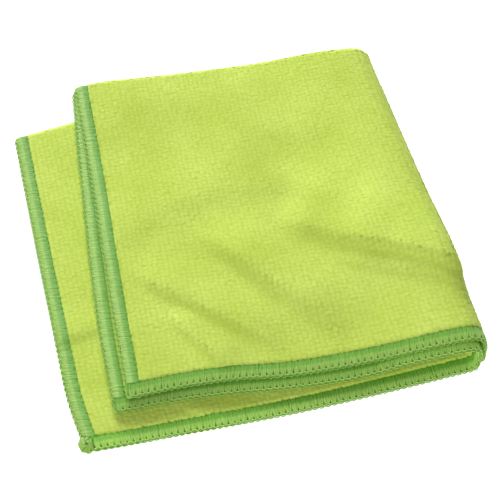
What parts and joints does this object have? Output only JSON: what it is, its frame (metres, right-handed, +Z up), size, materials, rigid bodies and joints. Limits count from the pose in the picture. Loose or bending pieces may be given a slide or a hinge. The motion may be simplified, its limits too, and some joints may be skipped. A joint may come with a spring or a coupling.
{
  "type": "microfibre cloth",
  "caption": "Square microfibre terry cloth with an overlocked border, folded in half and over again into a soft flat bundle, for wiping and drying.",
  "frame": {"origin": "on the surface that the cloth lies on, under the middle of the folded bundle", "axes": "+Z up out of the stack of layers, +X along the front edges towards the side fold, +Y from the front edges towards the back fold"},
  "size_m": [0.1621, 0.1713, 0.0226],
  "materials": {
    "terry": "lime green looped microfibre terry with fine ribs, matt and soft",
    "edging": "mid-green overlock thread laid side by side, with a faint satin sheen"
  },
  "bodies": {
    "root": {"cloth": "terry", "edging": "edging"}
  },
  "joints": []
}
